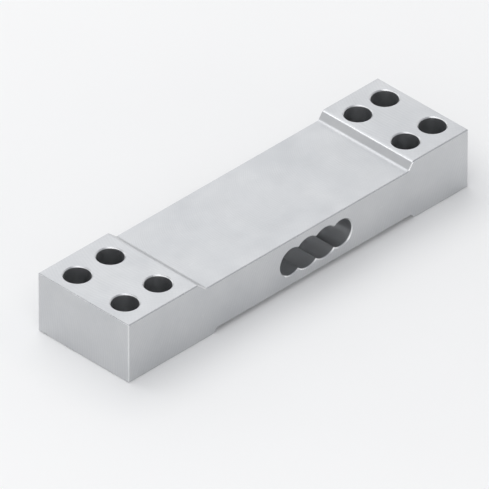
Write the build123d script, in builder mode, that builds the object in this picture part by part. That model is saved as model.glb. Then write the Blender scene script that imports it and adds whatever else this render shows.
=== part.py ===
from build123d import *
from math import radians, tan
import os

os.makedirs("parts", exist_ok=True)

# Sizes in millimetres. The bar lies along X with the fixed end at -X and the live end at +X.
# Its underside rests on z = 0, and the near side face is at -Y.

# Milled bar
length = 150.0
width = 40.0
height = 22.0
edge_break = 0.3

# Mounting holes, four in each end block, with the wall left between them and the end face
hole_diameter = 9.0
hole_break = 0.35
hole_pitch_across = 21.0
fixed_pitch_along = 14.4
fixed_end_wall = 3.4
live_pitch_along = 12.0
live_end_wall = 1.95

# Recess in the top face: flat past the holes by these walls, then a sloped shoulder to the floor
top_recess_depth = 3.0
fixed_top_wall = 3.7
fixed_top_run = 3.5
live_top_wall = 1.75
live_top_run = 2.1
top_shoulder_radius = 1.5

# Shallower recess in the underside, which keeps the beam clear of what the cell is bolted to
foot_recess_depth = 1.6
fixed_foot_wall = 10.5
live_foot_wall = 0.8
foot_run = 1.5
foot_shoulder_radius = 0.8

# Four-lobed bore through the sides: the outer lobes thin the beam to its four flexures
bore_offset = 7.5
outer_lobe_diameter = 9.8
outer_lobe_reach = 10.9
inner_lobe_diameter = 11.2
inner_lobe_reach = 3.8
bore_break = 0.35

# Cable inlet in the far side face, and the well that brings its wires down to the underside
inlet_diameter = 5.2
inlet_depth = 11.0
inlet_break = 0.4
well_diameter = 3.2
well_wall = 2.0

# Strain gauges: a film carrier with two foil grids side by side, their strands along the bar
carrier_thickness = 0.1
carrier_margin = 0.75
carrier_corner = 0.5
foil_thickness = 0.03
strand_count = 10
strand_width = 0.14
strand_gap = 0.1
strand_length = 4.5
loop_length = 0.3
tab_neck = 0.9
tab_length = 1.5
tab_width = 1.4
tab_gap = 0.5

# Terminal board with its etched copper
board_length = 13.0
board_thickness = 0.4
board_gap = 5.0
board_margin = 0.8
board_corner = 0.8
copper_thickness = 0.04
track_width = 0.3
row_count = 4
gauge_pad_count = 8
gauge_pad_length = 1.4
gauge_pad_width = 1.5
gauge_pad_pitch = 2.55
cable_pad_size = 1.9
via_diameter = 0.7
via_distance = 1.6
via_sides = 8

# Resistors: small ceramic blocks, one in each of the board's four rows
resistor_length = 3.2
resistor_width = 1.6
resistor_height = 0.55
resistor_cap = 0.5
resistor_pad_overhang = 0.6
resistor_wedge_height = 0.35
resistor_cap_step = 0.04

# Enamelled copper jumper leads
lead_diameter = 0.2
lead_lift = 0.02
lead_spacing = 1.4
lead_clearance = 1.6
lead_turn_run = 3.5
lead_board_gap = 1.0
lead_sides = 6
lead_bow = 0.45
lead_bend_limit = 6.0
corner_share = 0.45

# Solder beads
bead_margin = 0.1
bead_cover = 0.2
bead_crown = 0.26
bead_sides = 8

# Clear silicone coat over the bridge
coat_cover = 0.21
coat_margin = 2.2
coat_corner = 4.0
coat_bevel = 0.6

# Places worked out from the sizes above
fixed_end = -length / 2
live_end = length / 2
fixed_hole_x = fixed_end + fixed_end_wall + (hole_diameter + fixed_pitch_along) / 2
live_hole_x = live_end - live_end_wall - (hole_diameter + live_pitch_along) / 2
fixed_hole_edge = fixed_end + fixed_end_wall + hole_diameter + fixed_pitch_along
live_hole_edge = live_end - live_end_wall - hole_diameter - live_pitch_along
top_floor = height - top_recess_depth
fixed_foot_edge = fixed_hole_edge + fixed_foot_wall
live_foot_edge = live_hole_edge - live_foot_wall
fixed_top_edge = fixed_hole_edge + fixed_top_wall
live_top_edge = live_hole_edge - live_top_wall
bore_height = (foot_recess_depth + top_floor) / 2
fixed_gauge_x = bore_offset - outer_lobe_reach
live_gauge_x = bore_offset + outer_lobe_reach
well_x = fixed_foot_edge + foot_run + well_wall + well_diameter / 2
well_y = width / 2 - inlet_depth + inlet_diameter / 2

strand_pitch = strand_width + strand_gap
grid_width = strand_count * strand_pitch - strand_gap
tab_spread = (grid_width - strand_width) / 2
grid_y = tab_spread + tab_width / 2 + tab_gap / 2
tab_x = -(strand_length / 2 + loop_length + tab_neck + tab_length / 2)
carrier_front = strand_length / 2 + loop_length + carrier_margin
carrier_back = tab_x - tab_length / 2 - carrier_margin
carrier_half_width = grid_y + tab_spread + tab_width / 2 + carrier_margin

board_right = fixed_gauge_x + carrier_back - board_gap
board_left = board_right - board_length
board_x = (board_left + board_right) / 2
row_pitch = gauge_pad_pitch * gauge_pad_count / row_count
board_width = gauge_pad_pitch * (gauge_pad_count - 1) + gauge_pad_width + 2 * board_margin
gauge_pad_x = board_length / 2 - board_margin - gauge_pad_length / 2
cable_pad_x = board_margin + cable_pad_size / 2 - board_length / 2
resistor_pad_length = resistor_cap + resistor_pad_overhang
resistor_pad_x = (resistor_length - resistor_cap + resistor_pad_overhang) / 2
row_via_x = resistor_pad_x + resistor_pad_length / 2 + via_diameter

# Heights off the floor of the underside recess, on which the bridge is bonded
tab_top = carrier_thickness + foil_thickness
pad_top = board_thickness + copper_thickness
tab_lead_height = tab_top + lead_lift + lead_diameter / 2
pad_lead_height = pad_top + lead_lift + lead_diameter / 2
bead_height = lead_lift + lead_diameter + bead_cover
bead_radius = min(tab_width, gauge_pad_length) / 2 - bead_margin
coat_thickness = pad_top + resistor_height + coat_cover


def bond_plane(x, lift, x_dir=1):
    # A plane that faces down off the recess floor at a place along the bar.
    # Its x runs to the live end, its y to the near side, and its height is the lift.
    return Plane(origin=(x, 0, foot_recess_depth - lift), x_dir=(x_dir, 0, 0), z_dir=(0, 0, -1))


def finish(part, name):
    part.label = name
    export_step(part, "parts/" + name + ".step")


def shoulder_corners(profile):
    # The corners between the two ends of the bar, from its underside up
    corners = profile.vertices().filter_by_position(Axis.X, fixed_end, live_end, (False, False))
    return corners.sort_by(Axis.Y)


# The body is one bar. Its long profile carries both recesses with their sloped shoulders.
with BuildPart() as body:
    with BuildSketch(Plane.XZ) as bar_profile:
        with BuildLine():
            Polyline(
                (fixed_end, 0),
                (fixed_foot_edge, 0),
                (fixed_foot_edge + foot_run, foot_recess_depth),
                (live_foot_edge - foot_run, foot_recess_depth),
                (live_foot_edge, 0),
                (live_end, 0),
                (live_end, height),
                (live_top_edge, height),
                (live_top_edge - live_top_run, top_floor),
                (fixed_top_edge + fixed_top_run, top_floor),
                (fixed_top_edge, height),
                (fixed_end, height),
                close=True,
            )
        make_face()
        fillet(shoulder_corners(bar_profile)[4:], top_shoulder_radius)
        fillet(shoulder_corners(bar_profile)[:4], foot_shoulder_radius)
    extrude(amount=width / 2, both=True)
    side_edges = body.faces().filter_by(Axis.Y).edges()
    end_edges = body.faces().filter_by(Axis.X).edges().filter_by(Axis.Y)
    chamfer(side_edges + end_edges, edge_break)

    # Four drilled lobes that run into each other make the bore
    with BuildSketch(Plane.XZ):
        with Locations((bore_offset, bore_height)):
            with GridLocations(2 * outer_lobe_reach, 0, 2, 1):
                Circle(outer_lobe_diameter / 2)
            with GridLocations(2 * inner_lobe_reach, 0, 2, 1):
                Circle(inner_lobe_diameter / 2)
    extrude(amount=width / 2, both=True, mode=Mode.SUBTRACT)
    bore_mouths = [
        wire.edges() for face in body.faces().filter_by(Axis.Y) for wire in face.inner_wires()
    ]
    chamfer(bore_mouths, bore_break)

    # Mounting holes, straight through both end blocks
    for hole_x, pitch_along in (
        (fixed_hole_x, fixed_pitch_along),
        (live_hole_x, live_pitch_along),
    ):
        with Locations((hole_x, 0, height)):
            with GridLocations(pitch_along, hole_pitch_across, 2, 2):
                Hole(hole_diameter / 2)
    hole_mouths = body.edges().filter_by(GeomType.CIRCLE).filter_by(
        lambda edge: edge.is_closed and abs(edge.radius - hole_diameter / 2) < 1e-6
    )
    chamfer(hole_mouths, hole_break)

    # Cable inlet from the far side, and the wire well that meets its inner end
    inlet_plane = Plane(origin=(well_x, width / 2, bore_height), x_dir=(1, 0, 0), z_dir=(0, 1, 0))
    with BuildSketch(inlet_plane):
        Circle(inlet_diameter / 2)
    extrude(amount=-inlet_depth, mode=Mode.SUBTRACT)
    far_face = body.faces().sort_by(Axis.Y)[-1]
    chamfer(far_face.inner_wires().edges().sort_by(Axis.X)[0], inlet_break)
    with BuildSketch(bond_plane(0, 0)):
        with Locations((well_x, -well_y)):
            Circle(well_diameter / 2)
    extrude(amount=-(bore_height - foot_recess_depth), mode=Mode.SUBTRACT)

finish(body.part, "body")

bonded = []

# Two gauges, one under each outer lobe of the bore, where the beam is thinnest
gauge_places = {"fixed": fixed_gauge_x, "live": live_gauge_x}
for gauge_name, gauge_x in gauge_places.items():
    # The carrier is a film, shown with its glue line
    with BuildPart() as carrier:
        with BuildSketch(bond_plane(gauge_x, 0)):
            with Locations(((carrier_front + carrier_back) / 2, 0)):
                film = Rectangle(carrier_front - carrier_back, 2 * carrier_half_width)
            chamfer(film.vertices(), carrier_corner)
        extrude(amount=carrier_thickness)
    finish(carrier.part, gauge_name + "_gauge_carrier")
    bonded.append(carrier.part)

    # Each grid is one foil strip folded to and fro, with a solder tab at both ends
    for side_name, side in (("near", 1), ("far", -1)):
        with BuildPart() as grid:
            with BuildSketch(bond_plane(gauge_x, carrier_thickness)):
                with Locations((0, side * grid_y)):
                    with GridLocations(0, strand_pitch, 1, strand_count):
                        Rectangle(strand_length, strand_width)
                    for end, loop_count in ((1, strand_count // 2), (-1, strand_count // 2 - 1)):
                        with Locations((end * (strand_length + loop_length) / 2, 0)):
                            with GridLocations(0, 2 * strand_pitch, 1, loop_count):
                                Rectangle(loop_length, strand_pitch + strand_width)
                    with Locations((-(strand_length + loop_length + tab_neck) / 2, 0)):
                        with GridLocations(0, 2 * tab_spread, 1, 2):
                            Rectangle(loop_length + tab_neck, strand_width)
                    with Locations((tab_x, 0)):
                        with GridLocations(0, 2 * tab_spread, 1, 2):
                            Rectangle(tab_length, tab_width)
            extrude(amount=foil_thickness)
        finish(grid.part, gauge_name + "_" + side_name + "_grid")
        bonded.append(grid.part)

# The terminal board is bonded to the floor between the wire well and the fixed gauge
with BuildPart() as terminal_board:
    with BuildSketch(bond_plane(board_x, 0)):
        board_outline = Rectangle(board_length, board_width)
        chamfer(board_outline.vertices(), board_corner)
    extrude(amount=board_thickness)
finish(terminal_board.part, "terminal_board")
bonded.append(terminal_board.part)

# Its copper: a row for each cable core, with the pads of that row's resistor, and a column of
# pads for the gauge leads, each with a track to its via
with BuildPart() as board_copper:
    with BuildSketch(bond_plane(board_x, board_thickness)):
        with GridLocations(0, row_pitch, 1, row_count):
            with Locations((cable_pad_x, 0)):
                Rectangle(cable_pad_size, cable_pad_size)
            with GridLocations(2 * resistor_pad_x, 0, 2, 1):
                Rectangle(resistor_pad_length, resistor_width)
            with Locations(((cable_pad_x - resistor_pad_x) / 2, 0)):
                Rectangle(-resistor_pad_x - cable_pad_x, track_width)
            with Locations(((row_via_x + resistor_pad_x) / 2, 0)):
                Rectangle(row_via_x - resistor_pad_x, track_width)
            with Locations((row_via_x, 0)):
                RegularPolygon(via_diameter / 2, via_sides)
        with GridLocations(0, gauge_pad_pitch, 1, gauge_pad_count):
            with Locations((gauge_pad_x, 0)):
                Rectangle(gauge_pad_length, gauge_pad_width)
            with Locations((gauge_pad_x - via_distance / 2, 0)):
                Rectangle(via_distance, track_width)
            with Locations((gauge_pad_x - via_distance, 0)):
                RegularPolygon(via_diameter / 2, via_sides)
    extrude(amount=copper_thickness)
finish(board_copper.part, "board_copper")
bonded.append(board_copper.part)

# Resistors: a ceramic block between two metal end caps that stand a little proud of it
row_names = ("supply_span_near", "zero_balance", "zero_drift", "supply_span_far")
for row, row_name in enumerate(row_names):
    row_y = ((row_count - 1) / 2 - row) * row_pitch
    with BuildPart() as resistor:
        with BuildSketch(bond_plane(board_x, pad_top)):
            with Locations((0, row_y)):
                Rectangle(resistor_length, resistor_width - 2 * resistor_cap_step)
        extrude(amount=resistor_height - resistor_cap_step)
        with BuildSketch(bond_plane(board_x, pad_top)):
            with Locations((0, row_y)):
                with GridLocations(resistor_length - resistor_cap, 0, 2, 1):
                    Rectangle(resistor_cap, resistor_width)
        extrude(amount=resistor_height)
    finish(resistor.part, row_name + "_resistor")
    bonded.append(resistor.part)

# The solder at each resistor end climbs its cap in a hollow curve
with BuildPart(mode=Mode.PRIVATE) as solder_wedge:
    with BuildSketch(Plane.XZ):
        with BuildLine():
            Line((0, 0), (resistor_pad_overhang, 0))
            TangentArc(
                (resistor_pad_overhang, 0), (0, resistor_wedge_height), tangent=(-1, 0)
            )
            Line((0, resistor_wedge_height), (0, 0))
        make_face()
    extrude(amount=resistor_width / 2, both=True)
with BuildPart() as resistor_solder:
    for end in (1, -1):
        wedge_plane = bond_plane(board_x + end * resistor_length / 2, pad_top, x_dir=end)
        with Locations(wedge_plane):
            with GridLocations(0, row_pitch, 1, row_count):
                add(solder_wedge.part)
finish(resistor_solder.part, "resistor_solder")
bonded.append(resistor_solder.part)


def jumper_lead(route):
    # Fine wire along a route of (x, distance to the near side, height off the floor), with six
    # flats for its round. Every corner is an arc as large as its two runs allow.
    points = [bond_plane(0, 0).from_local_coords(place) for place in route]
    radii = []
    for before, corner, after in zip(points, points[1:], points[2:]):
        arriving = corner - before
        leaving = after - corner
        room = corner_share * min(arriving.length, leaving.length)
        turn = radians(arriving.get_angle(leaving))
        radii.append(min(room / tan(turn / 2), lead_bend_limit))
    with BuildPart() as wire:
        with BuildLine() as path:
            FilletPolyline(*points, radius=radii)
        with BuildSketch(Plane(origin=path.line @ 0, z_dir=path.line % 0)):
            RegularPolygon(lead_diameter / 2, lead_sides)
        sweep()
    return wire.part


# Eight jumper leads. The fixed gauge's leads go straight to the four inner pads. The live
# gauge's leads turn outwards, pass the fixed gauge and end on the four outer pads.
board_approach = board_right + lead_board_gap
leads = []
bead_spots = []
for side_name, side in (("near", 1), ("far", -1)):
    for lane_name, lane in (("inner", 0), ("outer", 1)):
        tab_y = side * (grid_y + (2 * lane - 1) * tab_spread)
        for gauge_name, gauge_x in gauge_places.items():
            on_live = gauge_name == "live"
            pad_y = side * gauge_pad_pitch * (0.5 + lane + 2 * on_live)
            carrier_end = gauge_x + carrier_back
            route = [(gauge_x + tab_x, tab_y, tab_lead_height)]
            if on_live:
                run_y = side * (carrier_half_width + lead_clearance + lane * lead_spacing)
                turn_x = carrier_end - lead_bow - (1 - lane) * lead_spacing
                route += [
                    (turn_x, tab_y, tab_lead_height),
                    (turn_x - lead_turn_run, run_y, tab_lead_height),
                    (fixed_gauge_x, run_y + side * lead_bow, tab_lead_height),
                ]
            else:
                route += [(carrier_end - lead_bow, tab_y + side * lead_bow, tab_lead_height)]
            route += [
                (board_approach, pad_y, pad_lead_height),
                (board_x + gauge_pad_x, pad_y, pad_lead_height),
            ]
            lead = jumper_lead(route)
            finish(lead, gauge_name + "_" + side_name + "_" + lane_name + "_lead")
            leads.append(lead)
            bead_spots.append((gauge_x + tab_x, tab_y, tab_top))
            bead_spots.append((board_x + gauge_pad_x, pad_y, pad_top))
bonded += leads

# A bead of solder holds each end of each lead
for solder_name, spots in (("tab_solder", bead_spots[::2]), ("pad_solder", bead_spots[1::2])):
    with BuildPart() as solder:
        for x, y, lift in spots:
            with BuildSketch(bond_plane(x, lift)):
                with Locations((0, y)):
                    RegularPolygon(bead_radius, bead_sides)
            extrude(amount=bead_height)
        chamfer(solder.faces().group_by(Axis.Z)[0].edges(), bead_crown)
        add(leads, mode=Mode.SUBTRACT)
    finish(solder.part, solder_name)
    bonded.append(solder.part)

# The silicone is poured over the finished bridge, so it takes the form of all that it covers
coat_left = board_left - coat_margin
coat_right = live_gauge_x + carrier_front + coat_margin
with BuildPart() as silicone_coat:
    with BuildSketch(bond_plane((coat_left + coat_right) / 2, 0)):
        RectangleRounded(coat_right - coat_left, board_width + 2 * coat_margin, coat_corner)
    extrude(amount=coat_thickness)
    chamfer(silicone_coat.faces().sort_by(Axis.Z)[0].edges(), coat_bevel)
    add(bonded, mode=Mode.SUBTRACT)
finish(silicone_coat.part, "silicone_coat")
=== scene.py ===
import bmesh
import bpy
from math import copysign, cos, exp, hypot, pi, sin
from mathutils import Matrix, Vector, noise


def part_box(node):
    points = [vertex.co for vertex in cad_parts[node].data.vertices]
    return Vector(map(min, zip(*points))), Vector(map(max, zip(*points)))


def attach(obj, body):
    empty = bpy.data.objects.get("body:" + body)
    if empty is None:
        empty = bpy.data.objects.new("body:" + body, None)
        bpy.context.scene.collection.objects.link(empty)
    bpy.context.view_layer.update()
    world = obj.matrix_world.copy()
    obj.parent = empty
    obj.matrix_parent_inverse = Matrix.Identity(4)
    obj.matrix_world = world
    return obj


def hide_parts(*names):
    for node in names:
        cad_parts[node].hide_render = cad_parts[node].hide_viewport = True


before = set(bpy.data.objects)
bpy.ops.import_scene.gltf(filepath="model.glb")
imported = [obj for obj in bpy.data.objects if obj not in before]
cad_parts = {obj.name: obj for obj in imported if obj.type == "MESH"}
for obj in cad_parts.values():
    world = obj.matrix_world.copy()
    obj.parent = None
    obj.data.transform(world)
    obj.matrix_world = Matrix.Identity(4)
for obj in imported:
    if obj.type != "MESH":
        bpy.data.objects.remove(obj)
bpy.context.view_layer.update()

# The bar of the cell. It is one piece of high-strength aluminium, milled on all six faces, drilled
# for its mounting bolts and bored through the sides, with its edges broken by a chamfer cutter.
# A clear anodic film seals it, and the cutter's marks still show through the film.
mm = 0.001
bar_low, bar_high = (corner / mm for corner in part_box("body"))
bar_middle = (bar_low + bar_high) / 2
half_height = bar_high.z - bar_middle.z
fixed_block_front = -46.0
live_block_back = 51.0
recess_floor_height = 7.5
recess_band = 0.5
edge_break = 0.3
side_edge_band = 0.5
face_edge_band = 0.45
square_on = 0.95
at_an_angle = 0.70
dull_film = (0.52, 0.532, 0.548)
clear_film = (0.61, 0.617, 0.626)
# A painted highlight for the ridges of the cutter marks
painted_ridge_highlight = (0.70, 0.705, 0.712)
# Partly the bare metal of worn edges and partly a painted highlight on the chamfers
worn_edge_and_painted_highlight = (0.86, 0.865, 0.87)
bare_scratch = (0.82, 0.82, 0.82)


class Finish:
    """A material with its shader, made up of patterns that are laid out in millimetres."""

    def __init__(self, name, **shader_values):
        self.material = bpy.data.materials.new(name)
        self.material.use_nodes = True
        self.tree = self.material.node_tree
        self.shader = self.tree.nodes["Principled BSDF"]
        for socket, value in shader_values.items():
            self.shader.inputs[socket.replace("_", " ")].default_value = value
        coordinates = self.tree.nodes.new("ShaderNodeTexCoord").outputs["Object"]
        feeds = {0: coordinates, "Scale": 1 / mm}
        self.place = self.node("ShaderNodeVectorMath", feeds, operation="SCALE").outputs[0]
        self.x, self.y, self.z = self.node("ShaderNodeSeparateXYZ", {0: self.place}).outputs

    def node(self, kind, feeds, **settings):
        made = self.tree.nodes.new(kind)
        for setting, value in settings.items():
            setattr(made, setting, value)
        for socket, feed in feeds.items():
            if isinstance(feed, bpy.types.NodeSocket):
                self.tree.links.new(feed, made.inputs[socket])
            else:
                made.inputs[socket].default_value = feed
        return made

    def figure(self, operation, *values):
        """One step of arithmetic on numbers that vary over the surface."""
        feeds = dict(enumerate(values))
        return self.node("ShaderNodeMath", feeds, operation=operation).outputs[0]

    def waves(self, along, pitch):
        return self.figure("SINE", self.figure("MULTIPLY", along, 2 * pi / pitch))

    def stretched(self, along_x, along_y, along_z):
        """Places squeezed along each axis, for streaks and grain."""
        feeds = {0: self.place, 1: (along_x, along_y, along_z)}
        return self.node("ShaderNodeVectorMath", feeds, operation="MULTIPLY").outputs[0]

    def cloud(self, scale, detail=3.0, roughness=0.5, place=None):
        feeds = {"Vector": place or self.place, "Scale": scale, "Detail": detail}
        feeds["Roughness"] = roughness
        return self.node("ShaderNodeTexNoise", feeds).outputs["Fac"]

    def span(self, value, low, high, to_low=0.0, to_high=1.0):
        feeds = {0: value, 1: low, 2: high, 3: to_low, 4: to_high}
        return self.node("ShaderNodeMapRange", feeds).outputs[0]

    def spread(self, cloud, low, high):
        """A cloud mostly lies between 0.3 and 0.7; this spreads it from low to high."""
        return self.span(cloud, 0.3, 0.7, low, high)

    def blend(self, share, first, second):
        """A colour between two, by share."""
        feeds = {0: share}
        for socket, colour in ((6, first), (7, second)):
            is_pattern = isinstance(colour, bpy.types.NodeSocket)
            feeds[socket] = colour if is_pattern else (*colour, 1.0)
        return self.node("ShaderNodeMix", feeds, data_type="RGBA").outputs[2]

    def relief(self, height, depth, under=None, sunk=False):
        """Bump whose full height is the depth in millimetres."""
        feeds = {"Height": height, "Distance": depth * mm, "Strength": 1.0}
        if under is not None:
            feeds["Normal"] = under
        return self.node("ShaderNodeBump", feeds, invert=sunk).outputs[0]

    def wear(self, **feeds):
        for socket, feed in feeds.items():
            self.tree.links.new(feed, self.shader.inputs[socket.replace("_", " ")])

    def cover(self, *node_names):
        """Puts the finish on solids that keep their own shape."""
        for node_name in node_names:
            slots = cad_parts[node_name].data.materials
            slots.clear()
            slots.append(self.material)


anodised = Finish("clear_anodised_aluminium", Metallic=1.0, IOR=1.45)
facing = anodised.tree.nodes.new("ShaderNodeNewGeometry").outputs["True Normal"]
facing = anodised.node("ShaderNodeSeparateXYZ", {0: facing}).outputs
turn_x, turn_y, turn_z = (anodised.figure("ABSOLUTE", part) for part in facing)


def from_middle(place, middle):
    return anodised.figure("ABSOLUTE", anodised.figure("SUBTRACT", place, middle))


def both(first, second):
    return anodised.figure("MULTIPLY", first, second)


def above(value, limit):
    return anodised.figure("GREATER_THAN", value, limit)


# Each face is told by the way it looks and by how far out it lies, and the bolt holes by lying
# in the end blocks
far_x = from_middle(anodised.x, bar_middle.x)
far_y = from_middle(anodised.y, bar_middle.y)
far_z = from_middle(anodised.z, bar_middle.z)
flats = both(above(turn_z, square_on), above(far_z, recess_floor_height))
sides = both(above(turn_y, square_on), above(far_y, bar_high.y - edge_break))
ends = both(above(turn_x, square_on), above(far_x, bar_high.x - edge_break))
outer = anodised.figure("MAXIMUM", anodised.figure("MAXIMUM", flats, sides), ends)
inner = anodised.figure("SUBTRACT", 1.0, outer)
recessed = anodised.figure("LESS_THAN", far_z, half_height - recess_band)
between_blocks = (fixed_block_front + live_block_back) / 2
from_between = from_middle(anodised.x, between_blocks)
in_bolt_hole = above(from_between, live_block_back - between_blocks)


def cutter_arcs(along, across, middle, cutter_radius, feed, back_cut):
    """The marks of a face cutter: arcs of one radius, one feed apart, with the fainter arcs that
    the cutter's back edge leaves across them. No two bites are quite the same depth."""
    offset = anodised.figure("SUBTRACT", across, middle)
    against = anodised.figure("MULTIPLY", offset, -1.0)
    square = anodised.figure("MULTIPLY_ADD", offset, against, cutter_radius**2)
    drop = anodised.figure("SQRT", square)
    wander = anodised.cloud(0.05, 2.0)
    sweeps = []
    for way, spacing in (("ADD", feed), ("SUBTRACT", feed * 1.31)):
        arc = anodised.figure(way, along, drop)
        arc_only = anodised.node("ShaderNodeCombineXYZ", {0: arc}).outputs[0]
        bites = anodised.cloud(0.9 / spacing, 1.0, 0.5, arc_only)
        depth = anodised.spread(bites, 0.25, 1.0)
        arc = anodised.figure("MULTIPLY_ADD", wander, spacing * 2.2, arc)
        sweeps.append(both(anodised.waves(arc, spacing), depth))
    return anodised.figure("MULTIPLY_ADD", sweeps[1], back_cut, sweeps[0])


def either(share, first, second):
    return anodised.node("ShaderNodeMix", {0: share, 2: first, 3: second}).outputs[0]


# The block faces and the recess floors, the sides, the ends, and the rings left by the drills
x, y, z = anodised.x, anodised.y, anodised.z
block_arcs = cutter_arcs(x, y, middle=3.0, cutter_radius=31.5, feed=1.15, back_cut=0.4)
recess_arcs = cutter_arcs(x, y, middle=-2.0, cutter_radius=25.0, feed=0.85, back_cut=0.4)
flat_marks = either(recessed, block_arcs, recess_arcs)
side_marks = cutter_arcs(x, z, middle=-14.0, cutter_radius=58.0, feed=1.2, back_cut=0.12)
end_marks = cutter_arcs(y, z, middle=2.0, cutter_radius=40.0, feed=1.05, back_cut=0.12)
bore_rings, hole_rings = anodised.waves(y, pitch=0.42), anodised.waves(z, pitch=0.36)
drill_marks = either(in_bolt_hole, bore_rings, hole_rings)
marks = both(flats, flat_marks)
for region, pattern in ((sides, side_marks), (ends, end_marks), (inner, drill_marks)):
    marks = anodised.figure("MULTIPLY_ADD", region, pattern, marks)
marks = both(marks, anodised.spread(anodised.cloud(0.09, 2.0), 0.35, 1.0))

# Fine drag lines between the arcs, faint scratches from handling, and the grain of the film
drag = anodised.cloud(1.0, 4.0, 0.7, anodised.stretched(0.25, 5.0, 5.0))
scratch_lines = anodised.cloud(0.9, 2.0, 0.6, anodised.stretched(0.35, 2.6, 2.2))
scratches = anodised.span(scratch_lines, 0.70, 0.74)
grain = anodised.cloud(9.0, 2.0)
surface = anodised.relief(marks, depth=0.011)
surface = anodised.relief(drag, depth=0.004, under=surface)
surface = anodised.relief(grain, depth=0.0022, under=surface)
surface = anodised.relief(scratches, depth=0.006, under=surface, sunk=True)

# Chamfers are painted lighter than the faces: partly wear, as they rub clean first, and partly
# a painted highlight along every edge
side_chamfer = anodised.figure("COMPARE", turn_y, at_an_angle, 0.09)
side_edges = both(side_chamfer, above(far_y, bar_high.y - side_edge_band))
face_chamfer = anodised.figure("COMPARE", turn_z, at_an_angle, 0.12)
face_edges = both(face_chamfer, above(far_z, half_height - face_edge_band))
edges = anodised.figure("MAXIMUM", side_edges, face_edges)
edge_wear_and_highlight = both(edges, anodised.span(anodised.cloud(0.16, 2.0), 0.35, 0.6, 0.6, 1.0))
patches = anodised.spread(anodised.cloud(0.045, 4.0, 0.6), 0.0, 1.0)
# The ridges of the cutter marks are painted lighter than their valleys, a painted highlight
painted_ridge_share = anodised.span(marks, -1.2, 1.2, 0.0, 0.5)
chamfer_wear_and_highlight_share = anodised.span(edge_wear_and_highlight, 0.0, 1.0, 0.0, 0.7)
scored = anodised.span(scratches, 0.0, 1.0, 0.0, 0.25)
tone = anodised.blend(patches, dull_film, clear_film)
tone = anodised.blend(painted_ridge_share, tone, painted_ridge_highlight)
tone = anodised.blend(chamfer_wear_and_highlight_share, tone, worn_edge_and_painted_highlight)
tone = anodised.blend(scored, tone, bare_scratch)
sheen = anodised.span(anodised.cloud(0.11, 4.0, 0.6), 0.25, 0.75, 0.30, 0.42)
sheen = anodised.figure("MULTIPLY_ADD", grain, 0.06, sheen)
sheen = anodised.figure("MULTIPLY_ADD", edge_wear_and_highlight, -0.12, sheen)
anodised.wear(Base_Color=tone, Roughness=sheen, Normal=surface)
anodised.cover("body")

# The bridge's two gauge carriers. Each is amber polyimide film that is glued down with a thin,
# even line of epoxy, so its face follows the milled floor a little and shows a few small voids.
deep_amber = (0.50, 0.23, 0.045)
pale_amber = (0.66, 0.35, 0.09)
glue_void = (0.74, 0.50, 0.24)
film = Finish(
    "amber_polyimide_film", Roughness=0.22, IOR=1.7, Coat_Weight=0.3, Coat_Roughness=0.08
)
film_pits = film.span(film.cloud(3.2, 2.0), 0.68, 0.74)
film_colour = film.blend(film.cloud(0.5, 3.0), deep_amber, pale_amber)
film_colour = film.blend(film_pits, film_colour, glue_void)
film.wear(Base_Color=film_colour, Normal=film.relief(film.cloud(1.2, 4.0), depth=0.02))
film.cover("fixed_gauge_carrier", "live_gauge_carrier")

# The foil grids. Each is a strip of constantan that is etched to and fro, pinkish grey and
# matt from the etch, with the finest rolling lines along it.
dull_constantan = (0.62, 0.47, 0.36)
clean_constantan = (0.78, 0.64, 0.52)
foil = Finish("etched_constantan_foil", Metallic=1.0)
rolled = foil.cloud(1.0, 3.0, 0.6, foil.stretched(0.6, 14.0, 14.0))
foil.wear(
    Base_Color=foil.blend(foil.cloud(0.8, 3.0), dull_constantan, clean_constantan),
    Roughness=foil.spread(rolled, 0.30, 0.46),
    Normal=foil.relief(rolled, depth=0.003),
)
foil.cover("fixed_near_grid", "fixed_far_grid", "live_near_grid", "live_far_grid")

# The terminal board. It is thin glass-epoxy laminate under green solder mask, and the weave of
# the glass shows faintly in the mask's gloss.
thread_pitch = 0.55
dark_green = (0.028, 0.15, 0.075)
clear_green = (0.05, 0.23, 0.12)
glass_green = (0.09, 0.30, 0.16)
mask = Finish("green_solder_mask", Roughness=0.3, IOR=1.55, Coat_Weight=0.5, Coat_Roughness=0.12)
warp, weft = mask.waves(mask.x, thread_pitch), mask.waves(mask.y, thread_pitch)
weave = mask.figure("MULTIPLY", warp, weft)
mask_tone = mask.blend(mask.cloud(0.35, 3.0), dark_green, clear_green)
mask_tone = mask.blend(mask.span(weave, -1.0, 1.0, 0.0, 0.3), mask_tone, glass_green)
mask.wear(Base_Color=mask_tone, Normal=mask.relief(weave, depth=0.006))
mask.cover("terminal_board")

# Its copper. It is etched to a row for each core of the cable and a pad for each lead, and its
# thin gilt finish is a little orange-peeled from the plating.
dull_gilt = (0.76, 0.52, 0.22)
bright_gilt = (0.88, 0.68, 0.36)
gilt = Finish("gilt_copper", Metallic=1.0)
plating = gilt.cloud(4.0, 3.0)
gilt.wear(
    Base_Color=gilt.blend(gilt.cloud(0.7, 3.0), dull_gilt, bright_gilt),
    Roughness=gilt.spread(plating, 0.2, 0.36),
    Normal=gilt.relief(plating, depth=0.004),
)
gilt.cover("board_copper")

# The vias at the ends of its tracks, four in the rows and one by each gauge pad. Each is a hole
# drilled through the board, plated and capped, so it stands as a round button with a dimple.
board_low, board_high = (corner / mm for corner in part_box("terminal_board"))
board_middle = (board_low + board_high) / 2
bond_floor = board_high.z
pad_x = board_high.x - 1.5
pad_count = 8
pad_pitch = 2.55
pad_via_distance = 1.6
row_via_distance = 1.3
via_crown = 0.45
via_profile = ((0.15, 0.453), (0.20, 0.475), (0.33, 0.475), (0.37, 0.45), (0.37, 0.395))
resistor_names = ("supply_span_near", "zero_balance", "zero_drift", "supply_span_far")
round_steps = 28


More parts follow.
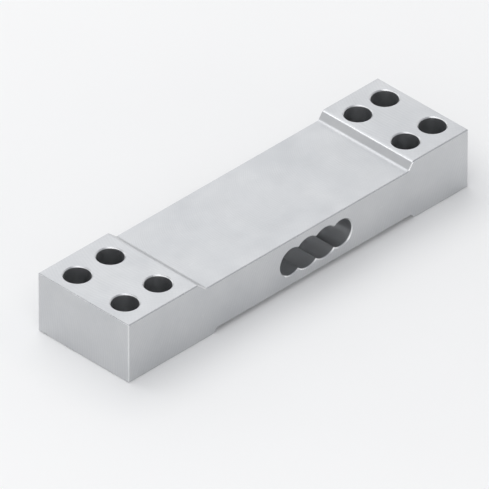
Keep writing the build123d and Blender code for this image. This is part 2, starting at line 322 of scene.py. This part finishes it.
def turned(shape, middle, crown, profile, widen=None):
    """A small round form that stands on the bridge: a crown, a ring of corners at each radius and
    lift of its profile, which may be widened one way, and a flat foot of many corners."""
    rings = []
    for radius, lift in profile:
        corners = []
        for step in range(round_steps):
            out = Vector((cos(2 * pi * step / round_steps), sin(2 * pi * step / round_steps)))
            spot = middle + out * radius * (widen(out) if widen else 1.0)
            corners.append(shape.verts.new((spot.x * mm, spot.y * mm, (bond_floor - lift) * mm)))
        rings.append(corners)
    top = shape.verts.new((middle.x * mm, middle.y * mm, (bond_floor - crown) * mm))
    for step in range(round_steps):
        after = (step + 1) % round_steps
        shape.faces.new((top, rings[0][after], rings[0][step]))
        for ring, wider in zip(rings, rings[1:]):
            shape.faces.new((ring[step], ring[after], wider[after], wider[step]))
    shape.faces.new(rings[-1])


def link_mesh(name, shape, material):
    """Every face is shaded round, but for a flat foot, which is one face of many corners."""
    bmesh.ops.recalc_face_normals(shape, faces=shape.faces)
    mesh = bpy.data.meshes.new(name)
    shape.to_mesh(mesh)
    shape.free()
    for face in mesh.polygons:
        face.use_smooth = face.loop_total < 5
    mesh.materials.append(material)
    piece = bpy.data.objects.new(name, mesh)
    bpy.context.scene.collection.objects.link(piece)
    return piece


buttons = bmesh.new()
for pad in range(pad_count):
    pad_y = pad_pitch * (pad - (pad_count - 1) / 2)
    turned(buttons, Vector((pad_x - pad_via_distance, pad_y)), via_crown, via_profile)
for name in resistor_names:
    low, high = (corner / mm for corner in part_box(name + "_resistor"))
    row_via = Vector((high.x + row_via_distance, (low.y + high.y) / 2))
    turned(buttons, row_via, via_crown, via_profile)
vias = link_mesh("plated_vias", buttons, gilt.material)
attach(vias, "root")

# The four resistors. Each is a pale ceramic chip with a dark glaze over the element on its face
# and a tinned cap at both ends. Its caps are told by how far they lie from its middle, and its
# glaze by the height.
cap_start = 1.1
glaze_end = 0.75
ceramic_start = 0.8
black_glaze = (0.028, 0.029, 0.034)
grey_glaze = (0.055, 0.055, 0.062)
bare_ceramic = (0.80, 0.79, 0.75)
dull_tin = (0.62, 0.62, 0.62)
bright_tin = (0.78, 0.78, 0.78)
chip = Finish("glazed_ceramic_chip", IOR=1.5)
along_chip = chip.figure("ABSOLUTE", chip.figure("SUBTRACT", chip.x, board_middle.x))
tinned = chip.figure("GREATER_THAN", along_chip, cap_start)
glaze_grain = chip.cloud(2.5, 4.0)
glaze = chip.blend(glaze_grain, black_glaze, grey_glaze)
glaze = chip.blend(chip.span(chip.z, glaze_end, ceramic_start), glaze, bare_ceramic)
chip.wear(
    Base_Color=chip.blend(tinned, glaze, chip.blend(glaze_grain, dull_tin, bright_tin)),
    Metallic=tinned,
    Roughness=chip.spread(glaze_grain, 0.26, 0.42),
    Normal=chip.relief(glaze_grain, depth=0.01),
)
chip.cover(*(name + "_resistor" for name in resistor_names))

# The solder at the resistors. It climbs the cap at each end of a chip in a small wedge, and is
# bright, with the fine frost of a cooled joint.
dull_solder = (0.62, 0.625, 0.64)
fresh_solder = (0.80, 0.805, 0.815)
solder = Finish("bright_solder", Metallic=1.0)
frost = solder.cloud(5.0, 4.0, 0.6)
solder.wear(
    Base_Color=solder.blend(solder.cloud(1.1, 3.0), dull_solder, fresh_solder),
    Roughness=solder.spread(frost, 0.14, 0.34),
    Normal=solder.relief(frost, depth=0.008),
)
solder.cover("resistor_solder")

# The eight jumper leads. Each is enamelled copper wire that runs from a grid's tab to its pad on
# the board in easy curves. They are drawn round here, on the routes that the solid leads take.
lead_radius = 0.1
lead_clearance = 0.02
tab_top = 0.13
pad_top = 0.44
tab_inset = 1.5
tab_rows = (0.95, 3.11)
outer_lane = 6.16
lane_spacing = 1.4
lane_back = 3.3
turn_run = 3.5
bow = 0.45
board_gap = 1.0
dark_copper = (0.50, 0.15, 0.04)
bright_copper = (0.72, 0.29, 0.09)
enamel = Finish(
    "enamelled_copper_wire", Metallic=0.75, Roughness=0.22, Coat_Weight=1.0, Coat_Roughness=0.05
)
enamel.wear(
    Base_Color=enamel.blend(enamel.cloud(0.6, 3.0), dark_copper, bright_copper),
    Normal=enamel.relief(enamel.cloud(3.0, 2.0), depth=0.004),
)


def draw_wire(name, route):
    """A round wire on a smooth line along a route of places, whose heights are off the floor of
    the underside recess."""
    line = bpy.data.curves.new(name, "CURVE")
    line.dimensions = "3D"
    line.bevel_depth = lead_radius * mm
    line.bevel_resolution = 3
    line.use_fill_caps = True
    spline = line.splines.new("NURBS")
    spline.points.add(len(route) - 1)
    for point, (x, y, lift) in zip(spline.points, route):
        point.co = (x * mm, y * mm, (bond_floor - lift) * mm, 1.0)
    spline.order_u = 3
    spline.use_endpoint_u = True
    spline.resolution_u = 12
    wire = bpy.data.objects.new(name, line)
    bpy.context.scene.collection.objects.link(wire)
    line.materials.append(enamel.material)
    return wire


tab_lift = tab_top + lead_clearance + lead_radius
pad_lift = pad_top + lead_clearance + lead_radius
lane_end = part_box("fixed_gauge_carrier")[1].x / mm - lane_back
soldered_tabs, soldered_pads = [], []
for gauge_name in ("fixed", "live"):
    gauge_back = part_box(gauge_name + "_gauge_carrier")[0].x / mm
    outwards = 2 if gauge_name == "live" else 0
    for side_name, side in (("near", -1), ("far", 1)):
        for lane, lane_name in enumerate(("inner", "outer")):
            tab_y = side * tab_rows[lane]
            pad_y = side * pad_pitch * (0.5 + lane + outwards)
            tab_place = (gauge_back + tab_inset, tab_y, tab_lift)
            pad_place = (pad_x, pad_y, pad_lift)
            if gauge_name == "live":
                run_y = side * (outer_lane + lane * lane_spacing)
                turn_x = gauge_back - bow - (1 - lane) * lane_spacing
                way = [
                    (turn_x, tab_y, tab_lift),
                    (turn_x - turn_run, run_y, tab_lift),
                    (lane_end, run_y + side * bow, tab_lift),
                ]
            else:
                way = [(gauge_back - bow, tab_y + side * bow, tab_lift)]
            way.append((board_high.x + board_gap, pad_y, pad_lift))
            lead_name = gauge_name + "_" + side_name + "_" + lane_name + "_lead"
            wire = draw_wire(lead_name + "_wire", [tab_place, *way, pad_place])
            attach(wire, "root")
            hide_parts(lead_name)
            soldered_tabs.append((tab_place, way[0]))
            soldered_pads.append((pad_place, way[-1]))

# A bead of solder over each end of each lead. It wets the whole tab or pad, rises in a smooth
# dome and draws out a little along the wire.
bead_radius = 0.62
bead_height = 0.42
bead_rings = 9
bead_unevenness = 0.05
bead_draw = 0.16


def lay_bead(shape, soldered_end, next_place, foot, seed):
    """A domed drop, a little uneven, and longer on the side that its wire leaves by."""
    middle, towards = Vector(soldered_end[:2]), Vector(next_place[:2])
    heading = (towards - middle).normalized()
    dome = []
    for ring in range(1, bead_rings + 1):
        share = ring / bead_rings
        dome.append((bead_radius * share, foot + bead_height * (1 - share**2.3) ** 0.62))

    def widen(out):
        wave = noise.noise(Vector((out.x * 1.3 + seed * 7.1, out.y * 1.3, seed)))
        return 1 + bead_unevenness * wave + bead_draw * max(0.0, out.dot(heading)) ** 3

    turned(shape, middle, foot + bead_height, dome, widen)


for place_name, joints, foot in (
    ("tab", soldered_tabs, tab_top),
    ("pad", soldered_pads, pad_top),
):
    drops = bmesh.new()
    for seed, (soldered_end, next_place) in enumerate(joints):
        lay_bead(drops, soldered_end, next_place, foot, seed)
    beads = link_mesh(place_name + "_solder_drops", drops, solder.material)
    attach(beads, "root")
    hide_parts(place_name + "_solder")

# The silicone that protects the bridge. It is poured clear over the finished work and creeps to a
# soft, uneven edge. It stands highest over the board and its resistors, and sinks towards the
# gauges. Its foot clears the milled floor by a hair, so that the two faces don't mix.
coat_low, coat_high = (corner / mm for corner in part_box("silicone_coat"))
coat_middle = (coat_low + coat_high) / 2
coat_half = (coat_high - coat_low) / 2
coat_corner = 4.0
coat_level = 1.02
coat_swell = 0.07
coat_sink = 0.42
coat_slope = 0.8
coat_slope_x = board_high.x + 0.6
coat_rounding = 0.9
coat_brim = 0.03
coat_foot = 0.005
creep_depth = 0.3
creep_wander = 0.45
coat_columns = 110
coat_rows = 60
milky_edge = (0.93, 0.94, 0.93)
water_clear = (0.98, 0.98, 0.97)


def coat_lift(inward, x, y):
    """How high the skin stands off the floor, a distance in from its edge."""
    swell = coat_swell * noise.noise(Vector((x * 0.18, y * 0.18, 3.0)))
    past_board = 1 / (1 + exp((coat_slope_x - x) / coat_slope))
    level = coat_level + swell - coat_sink * past_board
    return coat_brim + (1 - exp(-inward / coat_rounding)) * level


def round_in(x, y):
    """Takes a place in the coat's rectangle into its rounded corners, and says how far it then
    lies in from the edge."""
    over_x = abs(x) - coat_half.x + coat_corner
    over_y = abs(y) - coat_half.y + coat_corner
    if over_x > 0 and over_y > 0:
        pull = 1 - max(over_x, over_y) / hypot(over_x, over_y)
        x -= copysign(pull * over_x, x)
        y -= copysign(pull * over_y, y)
    return x, y, coat_corner - max(over_x, over_y)


skin = bmesh.new()
skin_rows = []
for row in range(coat_rows + 1):
    corners = []
    for column in range(coat_columns + 1):
        x, y, inward = round_in(
            coat_half.x * (2 * column / coat_columns - 1), coat_half.y * (2 * row / coat_rows - 1)
        )
        creep = creep_wander * noise.noise(Vector((x * 0.22, y * 0.22, 9.0))) - creep_depth
        creep *= max(0.0, 1 - inward / coat_corner) / max(hypot(x, y), 0.01)
        x, y = coat_middle.x + x * (1 + creep), coat_middle.y + y * (1 + creep)
        z = bond_floor - coat_lift(inward, x, y)
        corners.append(skin.verts.new((x * mm, y * mm, z * mm)))
    skin_rows.append(corners)
for row, next_row in zip(skin_rows, skin_rows[1:]):
    for column in range(coat_columns):
        skin.faces.new((row[column], next_row[column], next_row[column + 1], row[column + 1]))

# The skin's rim, once round, and below it the rim of the flat foot that closes the coat
rim = skin_rows[0][:-1] + [row[-1] for row in skin_rows[:-1]]
rim += skin_rows[-1][:0:-1] + [row[0] for row in skin_rows[:0:-1]]
foot = [skin.verts.new((*top.co.xy, (bond_floor - coat_foot) * mm)) for top in rim]
for k in range(len(rim)):
    skin.faces.new((rim[k - 1], rim[k], foot[k], foot[k - 1]))
skin.faces.new(foot)

silicone = Finish("clear_silicone", IOR=1.41, Transmission_Weight=1.0)
silicone.wear(
    Base_Color=silicone.blend(silicone.cloud(0.2), milky_edge, water_clear),
    Roughness=silicone.spread(silicone.cloud(0.6), 0.05, 0.16),
    Normal=silicone.relief(silicone.cloud(0.7, 2.0), depth=0.02),
)
coat_skin = link_mesh("silicone_skin", skin, silicone.material)
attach(coat_skin, "root")
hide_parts("silicone_coat")

# The table that the cell stands on: a plain pale sheet, matt, with a trace of tooth. It is
# lifted to near white for the eye and for what the metal reflects, more so further off. Under the
# bar and round it the lift is taken away, so the sheet there is painted darker, a painted contact
# shade, and the real shadow keeps its whole depth.
table_reach = 3.0
table_drop = 0.05
shadow_reach = 22.0
near_lift = 0.35
lift_starts = 90.0
lift_ends = 420.0
footprint = (bar_high.x, bar_high.y, 1.0)
paper_grey = (0.90, 0.90, 0.90)
paper_white = (0.93, 0.93, 0.93)
sheet = bmesh.new()
for x, y in ((-1, -1), (1, -1), (1, 1), (-1, 1)):
    sheet.verts.new((x * table_reach, y * table_reach, -table_drop * mm))
sheet.faces.new(list(sheet.verts))
paper = Finish("pale_table", Roughness=0.9)
paper.wear(Base_Color=paper.blend(paper.cloud(0.02), paper_grey, paper_white))
rays = paper.tree.nodes.new("ShaderNodeLightPath").outputs
seen = paper.figure("MAXIMUM", rays["Is Camera Ray"], rays["Is Glossy Ray"])
seen = paper.figure("MAXIMUM", seen, rays["Is Transmission Ray"])
glow = paper.node("ShaderNodeEmission", {"Color": (1.0, 1.0, 1.0, 1.0), "Strength": 1.0})
away = paper.node("ShaderNodeVectorMath", {0: paper.place}, operation="LENGTH").outputs["Value"]
lift = paper.figure("MULTIPLY", seen, paper.span(away, lift_starts, lift_ends, near_lift, 1.0))

# On the bar's own footprint there is no lift, and it comes in over the shadow's reach round it,
# so the sheet is painted darker close to the bar, a painted contact shade
beside = paper.place
for step, feeds in (
    ("ABSOLUTE", {}),
    ("SUBTRACT", {1: footprint}),
    ("MAXIMUM", {1: (0.0, 0.0, 0.0)}),
):
    beside = paper.node("ShaderNodeVectorMath", {0: beside, **feeds}, operation=step).outputs[0]
beside = paper.node("ShaderNodeVectorMath", {0: beside}, operation="LENGTH").outputs["Value"]
lift = paper.figure("MULTIPLY", lift, paper.span(beside, 0.0, shadow_reach))
layers = {0: lift, 1: paper.shader.outputs[0], 2: glow.outputs[0]}
lifted = paper.node("ShaderNodeMixShader", layers).outputs[0]
paper.tree.links.new(lifted, paper.tree.nodes["Material Output"].inputs["Surface"])
table = link_mesh("table_sheet", sheet, paper.material)

# The room's light: a pale surround that is white at the horizon and greyer overhead, and three
# wide soft lamps. One hangs high at the back and lights the top, one overhead, one in front.
horizon = 0.02
overhead = 0.65
horizon_white = (1.0, 1.0, 1.0, 1.0)
overhead_grey = (0.40, 0.41, 0.43, 1.0)
room = bpy.data.worlds.new("pale_room")
room.use_nodes = True
bpy.context.scene.world = room
links = room.node_tree.links
outward = room.node_tree.nodes.new("ShaderNodeTexCoord").outputs["Generated"]
heights = room.node_tree.nodes.new("ShaderNodeSeparateXYZ")
climb = room.node_tree.nodes.new("ShaderNodeMapRange")
climb.inputs["From Min"].default_value = horizon
climb.inputs["From Max"].default_value = overhead
surround = room.node_tree.nodes.new("ShaderNodeMix")
surround.data_type = "RGBA"
surround.inputs[6].default_value = horizon_white
surround.inputs[7].default_value = overhead_grey
links.new(outward, heights.inputs[0])
links.new(heights.outputs["Z"], climb.inputs["Value"])
links.new(climb.outputs[0], surround.inputs[0])
links.new(surround.outputs[2], room.node_tree.nodes["Background"].inputs["Color"])


def hang_lamp(name, place, size, power):
    lamp = bpy.data.lights.new(name, "AREA")
    lamp.shape = "RECTANGLE"
    lamp.size, lamp.size_y = size
    lamp.energy = power
    hung = bpy.data.objects.new(name, lamp)
    bpy.context.scene.collection.objects.link(hung)
    hung.location = place
    hung.rotation_euler = (bar_middle * mm - Vector(place)).to_track_quat("-Z", "Y").to_euler()


hang_lamp("back_lamp", (0.15, 0.60, 0.62), (1.2, 0.9), 2.5)
hang_lamp("overhead_lamp", (-0.26, 0.14, 0.84), (0.9, 0.9), 2.1)
hang_lamp("front_lamp", (-0.45, -0.45, 0.50), (0.55, 0.55), 1.15)

# The camera looks down on the fixed end's near corner from equal parts left, front and above, a
# long way off through a very long lens, so that parallel edges stay parallel. The frame is moved
# by a pixel to share the last trace of perspective between the bar's two ends.
picture_width = 489
pixels_per_mm = 3.2033
bar_pixel = (253.11, 229.88)
sharing_shift = (1.0, 0.4)
lens = bpy.data.cameras.new("long_lens")
lens.lens = 1650.0
lens.sensor_width = 36.0
lens.clip_start = 0.1
lens.clip_end = 50.0
camera = bpy.data.objects.new("long_lens", lens)
bpy.context.scene.collection.objects.link(camera)
back = Vector((-1, -1, 1)).normalized()
right = Vector((1, -1, 0)).normalized()
up = back.cross(right)
aim = bar_middle.copy()
aim -= right * (bar_pixel[0] + sharing_shift[0] - picture_width / 2) / pixels_per_mm
aim += up * (bar_pixel[1] - sharing_shift[1] - picture_width / 2) / pixels_per_mm
distance = picture_width / pixels_per_mm * lens.lens / lens.sensor_width
camera.location = (aim + back * distance) * mm
camera.rotation_euler = (-back).to_track_quat("-Z", "Y").to_euler()
bpy.context.scene.camera = camera
bpy.context.scene.view_settings.view_transform = "Standard"
